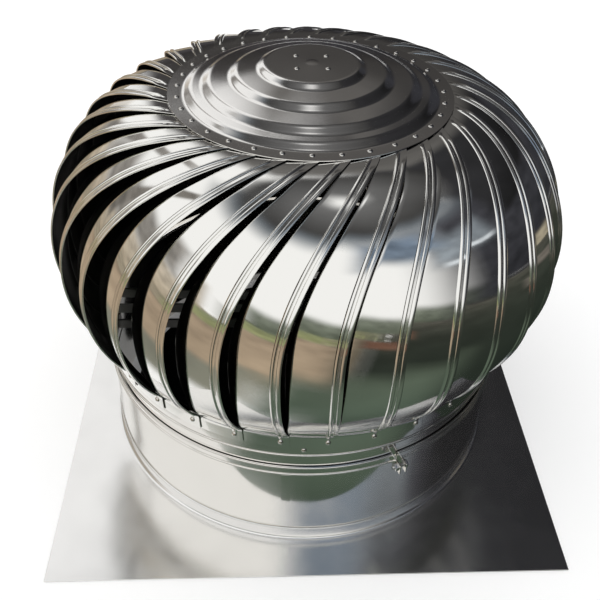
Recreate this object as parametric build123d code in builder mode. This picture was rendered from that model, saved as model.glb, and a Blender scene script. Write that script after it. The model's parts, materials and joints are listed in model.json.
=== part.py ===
"""Roof turbine ventilator, 600 mm throat, polished stainless steel.

A square base plate with a drawn collar carries a round neck.  An upper collar slides into the neck
under a clamp band, and two cross brackets in it hold a fixed shaft.  The rotor turns on two bearings:
a stepped cap, 32 swept vanes and a lower ring.  Millimetres, +Z up, origin on the shaft's axis at
the underside of the base plate.
"""
from build123d import *
import os
from math import acos, asin, atan, cos, degrees, pi, radians, sin, sqrt

os.makedirs("parts", exist_ok=True)

# ---------------------------------------------------------------- sheets and common clearances
sheet = 1.0  # neck, collars, cap, ring and vanes
seat_gap = 0.1  # between sheets that lie on one another
shaft_gap = 0.03  # radial, between the shaft and what sits on it
slip_gap = 0.3  # between a turning face and a fixed one inside the bearings

# ---------------------------------------------------------------- base plate and neck
plate_side = 720.0
plate_sheet = 1.5
neck_radius = 300.0  # outside of the neck
neck_top = 150.0
base_collar_top = 25.0
bead_radius = 1.6  # rolled edges of collar, band and ring
lap_angle = -96.5  # where the neck's sheet laps over itself
lap_width = 12.0
throat_depth = 100.0  # free bore, from the plate's underside up to the stop ring
stop_ring_height = 10.0
stop_ring_sheet = 2.0

# ---------------------------------------------------------------- upper collar and clamp band
collar_top = 188.0
band_height = 16.0
band_sheet = 1.2
lug_angle = -68.0
lug_reach = 24.0
lug_gap = 7.0
lug_sheet = 2.0
clamp_bolt_diameter = 6.0
clamp_bolt_overhang = 7.0

# ---------------------------------------------------------------- cross brackets and shaft
arm_count = 4
arm_thickness = 4.0
arm_height = 16.0
arm_foot_length = 44.0
arm_foot_sheet = 3.0
bracket_clearance = 0.8  # between the upper bracket and the collar's rolled edge
bracket_gap = 2.0  # between the shaft's locking collar and the upper bracket
bracket_hub_diameter = 46.0
bracket_hub_height = 18.0
shaft_diameter = 25.0
shaft_journal_diameter = 20.0  # turned-down ends, under the top bearing and through the nut
nut_height = 16.0
nut_width = 30.0  # across flats
shaft_overhang = 6.0  # of the shaft's thread below its nut
washer_diameter = 37.0
washer_thickness = 3.0
shaft_collar_diameter = 40.0
shaft_collar_height = 12.0

# ---------------------------------------------------------------- bearings and their housings
top_bearing_diameter = 47.0
top_bearing_width = 14.0
lower_bearing_diameter = 52.0
lower_bearing_width = 15.0
race_thickness = 4.0
housing_wall = 9.5
housing_lip = 3.5
housing_flange_diameter = 84.0
housing_flange = 4.0
circlip_thickness = 1.2
circlip_diameter = 29.0
hub_rivet_pcd = 56.0

# ---------------------------------------------------------------- cap
cap_rim_z = 553.5  # top of the flat rim that the vanes are riveted to
cap_rim_radius = 187.0
cap_centre_rise = 36.5  # top of the centre disc over the rim
riser_radii = (66.0, 102.0, 138.0, 162.0)  # middle of each riser
riser_width = 10.0
riser_drop = 6.0

# ---------------------------------------------------------------- vanes
vane_count = 32
rotor_rest_angle = -2.2  # angle of the first cap rivet at rest
vane_tab = 19.0  # length of the flat tab under the cap's rim
crease_radius = 313.0
crease_z = 490.0
belly_radius = 356.8
belly_z = 361.0
foot_below_rivet = 11.0  # from the ring's rivets down to the lower end of the vanes
vane_sweep = 27.5  # degrees that the top leads the belly
sweep_power = 2.3
foot_lead = 1.0  # degrees that the foot leads the belly
belly_share = 0.41  # the belly's bead line lies this share of a pitch past a cap rivet
foot_share = 0.5  # and the ring's rivets this share
hem_spacing = 10.5  # from the bead line to the hem's outer edge
hem_width = 5.5
hem_rise = 1.5
hem_start = 24.0  # below this length from the rim the hem is whole
tab_lap = 0.42  # overlap of neighbours under the cap's rim, as a share of the pitch
foot_lap = 0.27  # overlap at the ring
lap_fade = 60.0  # length over which both overlaps run out
vane_gap = 0.05  # gap between neighbours elsewhere, as a share of the pitch
vane_depth = 17.0  # how far the inner edge dips below the next vane
middle_dip = 0.45  # share of that depth reached half-way across a vane
depth_skew = 1.35
depth_power = 1.2
segments_above_crease = 5
segments_below_crease = 8

# ---------------------------------------------------------------- rotor ring, backing ring, rivets
ring_bottom = 184.0
ring_height = 44.0
ring_clearance = 4.3  # between the upper collar and the rotor ring round it
ring_curl = 2.0
backing_ring_width = 26.0
backing_ring_sheet = 2.0
rotor_arm_height = 16.0
rivet_diameter = 4.0
rivet_head_diameter = 7.0
rivet_head_height = 2.0
rivet_tail_height = 1.5
rivet_edge = 12.0  # from the cap's rim to its rivets
ring_rivet_rise = 30.0  # from the ring's lower edge to the vanes' rivets

# ---------------------------------------------------------------- worked-out places
pitch = 360 / vane_count
throat_radius = neck_radius - sheet
collar_radius = throat_radius - seat_gap  # outside of the upper collar
collar_bore = collar_radius - sheet
collar_bottom = throat_depth + stop_ring_height + seat_gap
upper_bracket_top = collar_top - 2 * bead_radius - bracket_clearance
upper_bracket_z = upper_bracket_top - bracket_hub_height
journal_shoulder = upper_bracket_z - bracket_gap - shaft_collar_height  # top of the lower bracket
lower_bracket_z = journal_shoulder - bracket_hub_height
shaft_bottom = lower_bracket_z - washer_thickness - nut_height - shaft_overhang
cap_centre_z = cap_rim_z + cap_centre_rise
cap_underside = cap_centre_z - sheet
top_housing_top = cap_underside - seat_gap
top_bearing_top = top_housing_top - housing_flange - 8
top_bearing_bottom = top_bearing_top - top_bearing_width
rotor_arm_z = collar_top + 3
lower_bearing_bottom = rotor_arm_z + (rotor_arm_height - lower_bearing_width) / 2
vane_rim_z = cap_rim_z - sheet - seat_gap  # outer face of the vanes' top tabs
ring_radius = collar_radius + ring_clearance + sheet  # outside of the rotor ring
ring_rivet_z = ring_bottom + ring_rivet_rise
cap_rivet_radius = cap_rim_radius - rivet_edge
foot_radius = ring_radius + 2 * sheet + 16 * seat_gap  # outer face of the vanes' feet


def export(part, name):
    """Label a finished piece and write its STEP file."""
    part.label = name
    export_step(part, f"parts/{name}.step")


# ================================================================ fixed body
# Base plate: flat square sheet, its hole drawn up into a collar with a rolled top edge
with BuildPart() as base_plate:
    with BuildSketch():
        Rectangle(plate_side, plate_side)
        Circle(neck_radius + seat_gap, mode=Mode.SUBTRACT)
    extrude(amount=plate_sheet)
    with BuildSketch(Plane.XZ):
        with Locations((neck_radius + seat_gap, 0)):
            Rectangle(sheet, base_collar_top, align=(Align.MIN, Align.MIN))
        with Locations((neck_radius + seat_gap + sheet, base_collar_top - bead_radius)):
            RegularPolygon(bead_radius, 4)
        with Locations((neck_radius + seat_gap - bead_radius, 0)):
            Rectangle(bead_radius, base_collar_top, align=(Align.MIN, Align.MIN), mode=Mode.SUBTRACT)
    revolve(axis=Axis.Z)
export(base_plate.part, "base_plate")

# Neck: rolled sheet, lapped over itself down one side
with BuildPart() as neck_tube:
    with BuildSketch():
        Circle(neck_radius)
        Circle(throat_radius, mode=Mode.SUBTRACT)
    extrude(amount=neck_top)
    lap_bottom = base_collar_top + 1
    lap_top = neck_top - band_height / 2 - 2
    with BuildSketch(Plane.XY.offset(lap_bottom)):
        with Locations(Rotation(0, 0, lap_angle) * Location((neck_radius, 0))):
            Rectangle(2 * sheet + 4, lap_width)
        Circle(neck_radius + sheet, mode=Mode.INTERSECT)
        Circle(neck_radius - sheet / 2, mode=Mode.SUBTRACT)
    extrude(amount=lap_top - lap_bottom)
    # welded stop ring: the upper collar seats on it, and a duct from below ends at it
    with BuildSketch(Plane.XY.offset(throat_depth)):
        Circle(neck_radius - sheet / 2)
        Circle(throat_radius - stop_ring_sheet, mode=Mode.SUBTRACT)
    extrude(amount=stop_ring_height)
export(neck_tube.part, "neck_tube")

# Upper collar: slides into the neck and carries both brackets, its top edge curls inwards
with BuildPart() as upper_collar:
    with BuildSketch(Plane.XZ):
        with Locations((collar_bore, collar_bottom)):
            Rectangle(sheet, collar_top - collar_bottom - bead_radius, align=(Align.MIN, Align.MIN))
        with Locations((collar_radius - bead_radius, collar_top - bead_radius)):
            RegularPolygon(bead_radius, 4)
    revolve(axis=Axis.Z)
export(upper_collar.part, "upper_collar")

# Clamp band: open ring with two rolled edges and two upright lugs
band_inner = neck_radius + seat_gap
band_outer = band_inner + band_sheet
lug_half_angle = degrees((lug_gap / 2 + lug_sheet) / band_outer)
band_bottom = neck_top - band_height / 2
band_start = Vector(1, 0, 0).rotate(Axis.Z, lug_angle + lug_half_angle)
band_plane = Plane(origin=(0, 0, 0), x_dir=band_start, z_dir=band_start.rotate(Axis.Z, -90))
with BuildPart() as clamp_band:
    with BuildSketch(band_plane):
        with Locations((band_inner, band_bottom)):
            Rectangle(band_sheet, band_height, align=(Align.MIN, Align.MIN))
        with Locations(
            (band_outer, band_bottom + bead_radius),
            (band_outer, band_bottom + band_height - bead_radius),
        ):
            RegularPolygon(bead_radius, 4)
        with Locations((band_inner - bead_radius, band_bottom)):
            Rectangle(bead_radius, band_height, align=(Align.MIN, Align.MIN), mode=Mode.SUBTRACT)
    revolve(axis=Axis.Z, revolution_arc=360 - 2 * lug_half_angle)
    lug_plane = Plane.XY.offset(band_bottom).rotated((0, 0, lug_angle))
    with BuildSketch(lug_plane):
        with Locations(
            (band_inner + lug_reach / 2, (lug_gap + lug_sheet) / 2),
            (band_inner + lug_reach / 2, -(lug_gap + lug_sheet) / 2),
        ):
            Rectangle(lug_reach, lug_sheet)
    extrude(amount=band_height)
    bolt_plane = Plane(
        origin=lug_plane.from_local_coords((band_outer + lug_reach * 0.62, 0, band_height / 2)),
        x_dir=(0, 0, 1),
        z_dir=lug_plane.y_dir,
    )
    with BuildSketch(bolt_plane):
        Circle(clamp_bolt_diameter / 2 + seat_gap)
    extrude(amount=lug_gap, both=True, mode=Mode.SUBTRACT)
export(clamp_band.part, "clamp_band")

# Clamp bolt and its nut
lug_outer = lug_gap / 2 + lug_sheet + seat_gap
bolt_head_height = 4.0
bolt_head_width = 10.0
with BuildPart() as clamp_bolt:
    with BuildSketch(bolt_plane.offset(lug_outer)):
        RegularPolygon(bolt_head_width / 2, 6, major_radius=False)
    extrude(amount=bolt_head_height)
    with BuildSketch(bolt_plane.offset(lug_outer)):
        Circle(clamp_bolt_diameter / 2)
    extrude(amount=-(2 * lug_outer + clamp_bolt_overhang))
export(clamp_bolt.part, "clamp_bolt")

with BuildPart() as clamp_nut:
    with BuildSketch(bolt_plane.offset(-lug_outer)):
        RegularPolygon(bolt_head_width / 2, 6, major_radius=False)
        Circle(clamp_bolt_diameter / 2 + shaft_gap, mode=Mode.SUBTRACT)
    extrude(amount=-bolt_head_height)
export(clamp_nut.part, "clamp_nut")


def add_cross_arms(hub_radius, wall_radius, bottom, height, start=0):
    """Flat arms on edge from a hub to curved feet that lie against a round wall."""
    foot_outer = wall_radius - seat_gap
    foot_inner = foot_outer - arm_foot_sheet
    reach = foot_inner + arm_foot_sheet / 2
    with BuildSketch(Plane.XY.offset(bottom)) as arms:
        with PolarLocations((hub_radius + reach) / 2, arm_count, start_angle=start):
            Rectangle(reach - hub_radius + 2, arm_thickness)
    extrude(arms.sketch, amount=height)
    with BuildSketch(Plane.XY.offset(bottom)) as feet:
        with PolarLocations(foot_outer, arm_count, start_angle=start):
            Rectangle(4 * arm_foot_sheet, arm_foot_length)
        Circle(foot_outer, mode=Mode.INTERSECT)
        Circle(foot_inner, mode=Mode.SUBTRACT)
    extrude(feet.sketch, amount=height)


# Cross brackets: a drilled hub and four arms each, one above the other in the upper collar
for name, bottom in (("lower_bracket", lower_bracket_z), ("upper_bracket", upper_bracket_z)):
    with BuildPart() as bracket:
        with BuildSketch(Plane.XY.offset(bottom)):
            Circle(bracket_hub_diameter / 2)
        extrude(amount=bracket_hub_height)
        arm_bottom = bottom + bracket_hub_height - arm_height
        add_cross_arms(bracket_hub_diameter / 2, collar_bore, arm_bottom, arm_height)
        bore = shaft_journal_diameter if name == "lower_bracket" else shaft_diameter
        with BuildSketch(Plane.XY.offset(bottom)):
            Circle(bore / 2 + shaft_gap)
        extrude(amount=bracket_hub_height, mode=Mode.SUBTRACT)
    export(bracket.part, name)


def add_radial_rivets(head_radius, grip, count, start, height):
    """Evenly spaced rivets through a round wall, heads outside."""
    for k in range(count):
        angle = start + k * 360 / count
        outward = Plane(
            origin=Vector(head_radius, 0, height).rotate(Axis.Z, angle),
            z_dir=Vector(1, 0, 0).rotate(Axis.Z, angle),
        )
        add_rivet(outward, grip)


def add_rivet(seat, grip):
    """One rivet: faceted head on the seat plane, and a shank through the grip."""
    with BuildSketch(seat) as head:
        RegularPolygon(rivet_head_diameter / 2, 6)
    extrude(head.sketch, amount=rivet_head_height, taper=35)
    with BuildSketch(seat) as shank:
        RegularPolygon(rivet_diameter / 2, 4)
    extrude(shank.sketch, amount=-(grip + rivet_tail_height))


# Shaft: stepped rod, journal for the top bearing at its head, threaded journal at its foot
shaft_top = top_bearing_top + circlip_thickness + 5
with BuildPart() as shaft:
    with BuildSketch(Plane.XY.offset(shaft_bottom)):
        Circle(shaft_journal_diameter / 2)
    extrude(amount=shaft_top - shaft_bottom)
    with BuildSketch(Plane.XY.offset(journal_shoulder)):
        Circle(shaft_diameter / 2)
    extrude(amount=top_bearing_bottom - journal_shoulder)
    chamfer(shaft.edges().filter_by(GeomType.CIRCLE).group_by(Axis.Z)[0], 1.5)
export(shaft.part, "shaft")

with BuildPart() as shaft_nut:
    with BuildSketch(Plane.XY.offset(lower_bracket_z - washer_thickness - nut_height)):
        RegularPolygon(nut_width / 2, 6, major_radius=False)
        Circle(shaft_journal_diameter / 2 + shaft_gap, mode=Mode.SUBTRACT)
    extrude(amount=nut_height)
export(shaft_nut.part, "shaft_nut")


def ring_part(inner, outer, bottom, height):
    """A plain ring about the axis, between two radii."""
    with BuildPart() as ring:
        with BuildSketch(Plane.XY.offset(bottom)):
            Circle(outer)
            Circle(inner, mode=Mode.SUBTRACT)
        extrude(amount=height)
    return ring.part


# Washer, locking collar and circlip that fix the shaft and the top bearing
journal_bore = shaft_journal_diameter / 2 + shaft_gap
shaft_bore = shaft_diameter / 2 + shaft_gap
export(
    ring_part(journal_bore, washer_diameter / 2, lower_bracket_z - washer_thickness, washer_thickness),
    "shaft_washer",
)
export(
    ring_part(shaft_bore, shaft_collar_diameter / 2, journal_shoulder, shaft_collar_height),
    "shaft_collar",
)
export(
    ring_part(journal_bore, circlip_diameter / 2, top_bearing_top, circlip_thickness),
    "top_circlip",
)


def bearing_parts(bore_diameter, outer_diameter, bottom, width):
    """Inner race, and outer race with its dust shields, which nearly reach the inner one."""
    inner = ring_part(
        bore_diameter / 2 + shaft_gap, bore_diameter / 2 + race_thickness, bottom, width
    )
    outer_radius = outer_diameter / 2
    shield_bore = bore_diameter / 2 + race_thickness + slip_gap
    outer = ring_part(shield_bore, outer_radius, bottom, width)
    return inner, outer


top_inner, top_outer = bearing_parts(
    shaft_journal_diameter, top_bearing_diameter, top_bearing_bottom, top_bearing_width
)
lower_inner, lower_outer = bearing_parts(
    shaft_diameter, lower_bearing_diameter, lower_bearing_bottom, lower_bearing_width
)
export(top_inner, "top_bearing_inner")
export(top_outer, "top_bearing_outer")
export(lower_inner, "lower_bearing_inner")
export(lower_outer, "lower_bearing_outer")

# ================================================================ rotor
# Cap: one spun sheet, four risers stepping up from the rim to the centre disc
tread_length = riser_radii[-1] - riser_radii[0] - (len(riser_radii) - 1) * riser_width
tread_slope = (cap_centre_rise - len(riser_radii) * riser_drop) / tread_length
cap_steps = [(0, cap_centre_z), (riser_radii[0] - riser_width / 2, cap_centre_z)]
for radius in riser_radii:
    last_radius, last_z = cap_steps[-1]
    if radius > riser_radii[0]:
        tread_end = radius - riser_width / 2
        last_z -= (tread_end - last_radius) * tread_slope
        cap_steps.append((tread_end, last_z))
    cap_steps.append((radius + riser_width / 2, last_z - riser_drop))
cap_steps.append((cap_rim_radius, cap_rim_z))
underside = [(r, z - sheet) for r, z in reversed(cap_steps)]

with BuildPart() as cap:
    with BuildSketch(Plane.XZ):
        with BuildLine():
            Polyline(*cap_steps, *underside, close=True)
        make_face()
    revolve(axis=Axis.Z)
export(cap.part, "cap")

# Top bearing housing: flanged cup under the cap, its shoulder hangs on the outer race
top_seat = top_bearing_diameter / 2 + shaft_gap
with BuildPart() as top_housing:
    with BuildSketch(Plane.XY.offset(top_bearing_bottom - housing_lip)):
        Circle(top_bearing_diameter / 2 + housing_wall)
    extrude(amount=top_housing_top - top_bearing_bottom + housing_lip)
    with BuildSketch(Plane.XY.offset(top_housing_top - housing_flange)):
        Circle(housing_flange_diameter / 2)
    extrude(amount=housing_flange)
    with BuildSketch(Plane.XY.offset(top_bearing_bottom - housing_lip)):
        Circle(top_seat)
    extrude(amount=top_bearing_width + housing_lip, mode=Mode.SUBTRACT)
    with BuildSketch(Plane.XY.offset(top_bearing_top)):
        Circle(top_seat - race_thickness)
    extrude(amount=top_housing_top - housing_flange - top_bearing_top, mode=Mode.SUBTRACT)
export(top_housing.part, "top_housing")

# Four rivets that fasten the cap to its bearing housing
with BuildPart() as hub_rivets:
    for corner in range(4):
        corner_place = Vector(hub_rivet_pcd / 2, 0, cap_centre_z).rotate(Axis.Z, 45 + 90 * corner)
        add_rivet(Plane(origin=corner_place), sheet + seat_gap + housing_flange)
export(hub_rivets.part, "hub_rivets")

# Rotor ring: plain band, beaded lower edge, upper edge curled inwards
with BuildPart() as rotor_ring:
    ring_top = ring_bottom + ring_height
    with BuildSketch(Plane.XZ):
        with Locations((ring_radius - sheet, ring_bottom)):
            Rectangle(sheet, ring_height - ring_curl, align=(Align.MIN, Align.MIN))
        with Locations((ring_radius, ring_bottom + bead_radius)):
            RegularPolygon(bead_radius, 4)
        with Locations((ring_radius - sheet - bead_radius, ring_bottom)):
            Rectangle(bead_radius, 2 * bead_radius, align=(Align.MIN, Align.MIN), mode=Mode.SUBTRACT)
        with Locations((ring_radius - ring_curl, ring_top - ring_curl)):
            RegularPolygon(ring_curl, 4)
    revolve(axis=Axis.Z)
export(rotor_ring.part, "rotor_ring")

# Rotor bracket: lower bearing housing with four arms to the ring
rotor_arm_wall = ring_radius - sheet
lower_seat = lower_bearing_diameter / 2 + shaft_gap
with BuildPart() as lower_housing:
    with BuildSketch(Plane.XY.offset(lower_bearing_bottom)):
        Circle(lower_bearing_diameter / 2 + housing_wall)
        Circle(lower_seat, mode=Mode.SUBTRACT)
    extrude(amount=lower_bearing_width)
    with BuildSketch(Plane.XY.offset(lower_bearing_bottom + lower_bearing_width)):
        Circle(lower_bearing_diameter / 2 + housing_wall)
        Circle(lower_seat - race_thickness, mode=Mode.SUBTRACT)
    extrude(amount=housing_lip)
export(lower_housing.part, "lower_housing")

with BuildPart() as rotor_bracket:
    bracket_bore = lower_bearing_diameter / 2 + housing_wall + shaft_gap
    with BuildSketch(Plane.XY.offset(rotor_arm_z)):
        Circle(bracket_bore + arm_foot_sheet)
    extrude(amount=rotor_arm_height)
    add_cross_arms(
        bracket_bore + arm_foot_sheet,
        rotor_arm_wall,
        rotor_arm_z,
        rotor_arm_height,
        rotor_rest_angle,
    )
    with BuildSketch(Plane.XY.offset(rotor_arm_z)):
        Circle(bracket_bore)
    extrude(amount=rotor_arm_height, mode=Mode.SUBTRACT)
export(rotor_bracket.part, "rotor_bracket")

with BuildPart() as bracket_rivets:
    wall_and_foot = sheet + seat_gap + arm_foot_sheet
    bracket_rivet_z = rotor_arm_z + rotor_arm_height * 0.35
    add_radial_rivets(ring_radius, wall_and_foot, arm_count, rotor_rest_angle, bracket_rivet_z)
export(bracket_rivets.part, "bracket_rivets")


# ---------------------------------------------------------------- vane shape
# The outer face of a vane follows a meridian: a flat tab, an arc over the shoulder to the crease,
# a larger arc round the belly, and a straight foot against the ring.
shoulder_drop = vane_rim_z - crease_z
shoulder_radius = ((crease_radius - cap_rim_radius) ** 2 + shoulder_drop**2) / (2 * shoulder_drop)
shoulder_angle = asin((crease_radius - cap_rim_radius) / shoulder_radius)
shoulder_length = shoulder_radius * shoulder_angle
belly_inset = belly_radius - crease_radius
belly_rise = crease_z - belly_z
belly_arc_radius = (belly_inset**2 + belly_rise**2) / (2 * belly_inset)
belly_centre = belly_radius - belly_arc_radius
belly_start = asin(belly_rise / belly_arc_radius)
belly_end = -acos((foot_radius - belly_centre) / belly_arc_radius)
belly_length = belly_arc_radius * (belly_start - belly_end)
widest = shoulder_length + belly_arc_radius * belly_start  # length from the rim to the belly
curve_length = shoulder_length + belly_length
foot_z = belly_z + belly_arc_radius * sin(belly_end)
vane_foot = foot_z - ring_rivet_z + foot_below_rivet  # straight length against the ring


def meridian(s):
    """Radius, height and outward normal of a vane's face at length s from the cap's rim."""
    if s <= 0:
        return cap_rim_radius + s, vane_rim_z, 0.0, 1.0
    if s < shoulder_length:
        a = s / shoulder_radius
        radius = cap_rim_radius + shoulder_radius * sin(a)
        return radius, vane_rim_z - shoulder_radius * (1 - cos(a)), sin(a), cos(a)
    if s < curve_length:
        b = belly_start - (s - shoulder_length) / belly_arc_radius
        radius = belly_centre + belly_arc_radius * cos(b)
        return radius, belly_z + belly_arc_radius * sin(b), cos(b), sin(b)
    return foot_radius, foot_z - (s - curve_length), 1.0, 0.0


def bead_angle(s):
    """Angle in degrees of the bead line at length s, led by the sweep near the cap."""
    if s < widest:
        return vane_sweep * (1 - s / widest) ** sweep_power
    return foot_lead * ((s - widest) / (curve_length - widest)) ** 2


def lap_share(s):
    """Overlap of neighbouring vanes at length s as a share of the pitch, negative for a gap."""
    top_fade = min(max(1 - s / lap_fade, 0), 1) ** 2
    foot_fade = min(max(1 - (curve_length - s) / lap_fade, 0), 1) ** 2
    return (tab_lap + vane_gap) * top_fade + (foot_lap + vane_gap) * foot_fade - vane_gap


def inner_dip(s, lap):
    """How far the inner edge lies below the envelope: one sheet at the ends, deep between."""
    share = min(max(s / curve_length, 0), 1)
    opened = max(sin(pi * share**depth_skew), 0) ** depth_power
    return (sheet + 8 * seat_gap) * (1 + max(lap, 0)) + vane_depth * opened


def vane_section(s):
    """Station plane and outline of a vane's cross-section at length s from the rim."""
    radius, z, normal_r, normal_z = meridian(s)
    slope = radius * radians(bead_angle(s + 1) - bead_angle(s - 1)) / 2
    along = cos(atan(slope))
    hem_angle = bead_angle(s) + degrees(hem_spacing / along / radius)
    step_angle = hem_angle - degrees(hem_width / along / radius)
    lap = lap_share(s)
    inner_angle = hem_angle - pitch * (1 + lap)
    dip = inner_dip(s, lap)
    middle = (hem_angle + inner_angle) / 2
    rise = hem_rise * min(max(s / hem_start, 0.02), 1) if s < curve_length - 1 else 0.02 * hem_rise
    outline = [
        (hem_angle, rise),
        (step_angle, rise),
        (middle, -dip * middle_dip),
        (inner_angle, -dip),
        (inner_angle, -dip - sheet),
        (middle, -dip * middle_dip - sheet),
        (hem_angle, -sheet),
    ]
    plane = Plane(
        origin=Vector(radius, 0, z).rotate(Axis.Z, middle),
        x_dir=Vector(0, 1, 0).rotate(Axis.Z, middle),
        z_dir=Vector(-normal_z, 0, normal_r).rotate(Axis.Z, middle),
    )
    points = []
    for angle, lift in outline:
        point = Vector(radius + lift * normal_r, 0, z + lift * normal_z).rotate(Axis.Z, angle)
        local = plane.to_local_coords(point)
        points.append((local.X, local.Y))
    return plane, points


stations = [-vane_tab, 0]
stations += [shoulder_length * (i + 1) / segments_above_crease for i in range(segments_above_crease)]
stations += [
    shoulder_length + belly_length * (i + 1) / segments_below_crease
    for i in range(segments_below_crease)
]
stations.append(curve_length + vane_foot)

# One vane, lofted straight from station to station, then turned into its 32 places
with BuildPart() as vane:
    for s in stations:
        plane, points = vane_section(s)
        with BuildSketch(plane):
            with BuildLine():
                Polyline(*points, close=True)
            make_face()
    loft(ruled=True)
for k in range(vane_count):
    turn = rotor_rest_angle + (k + belly_share) * pitch
    export(vane.part.rotate(Axis.Z, turn), f"vane_{k + 1:02d}")

# Backing ring under the vanes' tabs, and the rivets through cap, tabs and ring
backing_top = vane_rim_z - inner_dip(0, tab_lap) - sheet - 2 * seat_gap
backing_ring = ring_part(
    cap_rim_radius - backing_ring_width,
    cap_rim_radius,
    backing_top - backing_ring_sheet,
    backing_ring_sheet,
)
export(backing_ring, "backing_ring")

with BuildPart() as cap_rivets:
    for k in range(vane_count):
        seat = Plane(
            origin=Vector(cap_rivet_radius, 0, cap_rim_z).rotate(Axis.Z, rotor_rest_angle + k * pitch)
        )
        add_rivet(seat, cap_rim_z - backing_top + backing_ring_sheet)
export(cap_rivets.part, "cap_rivets")

with BuildPart() as ring_rivets:
    ring_rivet_start = rotor_rest_angle + foot_share * pitch
    ring_grip = foot_radius - ring_radius + sheet
    add_radial_rivets(foot_radius, ring_grip, vane_count, ring_rivet_start, ring_rivet_z)
export(ring_rivets.part, "ring_rivets")
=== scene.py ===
"""Looks of the roof turbine ventilator: polished sheet, rolled beads, swept vanes, rivets.

Metres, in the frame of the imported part.  Every sheet piece is drawn again with its real rolled
edges, and every rivet with its domed head; brackets, shaft, bearings and housings are shown as
packed, with their own finishes.
"""

import json
import math

import bmesh
import bpy
from mathutils import Matrix, Vector


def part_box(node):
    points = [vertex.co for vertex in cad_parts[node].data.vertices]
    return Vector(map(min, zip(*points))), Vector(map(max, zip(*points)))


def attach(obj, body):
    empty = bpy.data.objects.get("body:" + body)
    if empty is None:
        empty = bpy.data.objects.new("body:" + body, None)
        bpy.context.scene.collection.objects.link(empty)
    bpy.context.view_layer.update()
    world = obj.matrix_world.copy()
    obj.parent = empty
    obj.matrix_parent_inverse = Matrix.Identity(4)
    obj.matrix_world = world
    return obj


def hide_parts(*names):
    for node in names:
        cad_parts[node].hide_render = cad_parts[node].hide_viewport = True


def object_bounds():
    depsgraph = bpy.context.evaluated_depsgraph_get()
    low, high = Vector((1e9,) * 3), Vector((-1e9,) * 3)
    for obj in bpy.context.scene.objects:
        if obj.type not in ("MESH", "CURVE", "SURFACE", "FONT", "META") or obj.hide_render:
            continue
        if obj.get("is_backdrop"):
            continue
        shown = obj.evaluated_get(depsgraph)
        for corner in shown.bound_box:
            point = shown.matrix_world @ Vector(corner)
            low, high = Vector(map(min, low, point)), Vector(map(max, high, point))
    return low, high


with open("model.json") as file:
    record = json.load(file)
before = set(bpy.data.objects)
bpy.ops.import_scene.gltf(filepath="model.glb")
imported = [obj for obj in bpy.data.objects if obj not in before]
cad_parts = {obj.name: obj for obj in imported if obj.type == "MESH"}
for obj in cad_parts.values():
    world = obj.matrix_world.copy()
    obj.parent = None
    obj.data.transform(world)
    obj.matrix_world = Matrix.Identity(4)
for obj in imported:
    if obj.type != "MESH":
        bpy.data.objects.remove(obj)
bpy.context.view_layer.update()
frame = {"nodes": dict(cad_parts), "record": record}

MM = 0.001
TURN = 2 * math.pi
ROUND_SEGMENTS = 256  # flats in a full turn of the large sheet pieces
SHARP_ANGLE = math.radians(35)  # faces that meet more sharply than this keep a crisp edge
GROWN_SHARP_ANGLE = math.radians(38)  # the same for what a geometry tree makes


# ------------------------------------------------------------------ sizes
def mount_size(name, key):
    """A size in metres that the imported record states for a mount."""
    mount = next(m for m in frame["record"]["mounts"] if m["name"] == name)
    return mount["dims"][key] * MM


def node_height(name):
    """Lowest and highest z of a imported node."""
    low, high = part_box(name)
    return low.z, high.z


SHEET = 1.0 * MM
SEAT_GAP = 0.1 * MM
ROLL = 1.6 * MM  # radius of the rolled edges
ROLL_STEPS = 8
throat_radius = mount_size("throat_bore", "r_mm")
neck_radius = throat_radius + SHEET
plate_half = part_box("base_plate")[1].x
plate_sheet = 1.5 * MM
base_collar_top = node_height("base_plate")[1]
neck_top = node_height("neck_tube")[1]
collar_bottom, collar_top = node_height("upper_collar")
band_bottom, band_top = node_height("clamp_band")
ring_bottom, ring_top = node_height("rotor_ring")
collar_radius = throat_radius - SEAT_GAP  # the upper collar slides into the neck
ring_radius = collar_radius + 5.3 * MM
cap_rim_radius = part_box("cap")[1].x
cap_rim_z = node_height("cap")[0] + SHEET
cap_centre_z = node_height("cap")[1]

VANE_COUNT = 32
PITCH = TURN / VANE_COUNT
REST_ANGLE = math.radians(-2.2)
LUG_ANGLE = math.radians(-68.0)
LAP_SEAM_ANGLE = math.radians(-96.5)


# ------------------------------------------------------------------ small helpers
def linear(hex_colour):
    """sRGB hex to the linear RGBA that shaders take."""
    channels = [int(hex_colour[i : i + 2], 16) / 255 for i in (1, 3, 5)]
    return [c / 12.92 if c <= 0.04045 else ((c + 0.055) / 1.055) ** 2.4 for c in channels] + [1]


def add_node(tree, kind, settings=None, values=None, links=None):
    """Adds a node, sets its properties and input values, and links its inputs."""
    node = tree.nodes.new(kind)
    for name, value in (settings or {}).items():
        setattr(node, name, value)
    for key, value in (values or {}).items():
        node.inputs[key].default_value = value
    for key, socket in (links or {}).items():
        tree.links.new(socket, node.inputs[key])
    return node


def smooth_object(name, mesh):
    """An object for a mesh, smooth where its faces meet gently."""
    mesh.shade_smooth()
    mesh.set_sharp_from_angle(angle=SHARP_ANGLE)
    obj = bpy.data.objects.new(name, mesh)
    bpy.context.scene.collection.objects.link(obj)
    return obj


def piece(name, vertices, faces):
    """A mesh object with its place in its mesh."""
    mesh = bpy.data.meshes.new(name)
    mesh.from_pydata([tuple(v) for v in vertices], [], [tuple(f) for f in faces])
    mesh.validate()
    return smooth_object(name, mesh)


def eased_piece(name, solid, ease, steps):
    """An object for a bmesh solid, with all its edges eased."""
    edges = solid.edges[:]
    bmesh.ops.bevel(solid, geom=edges, offset=ease, segments=steps, affect="EDGES", profile=0.5)
    mesh = bpy.data.meshes.new(name)
    solid.to_mesh(mesh)
    solid.free()
    return smooth_object(name, mesh)


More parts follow.
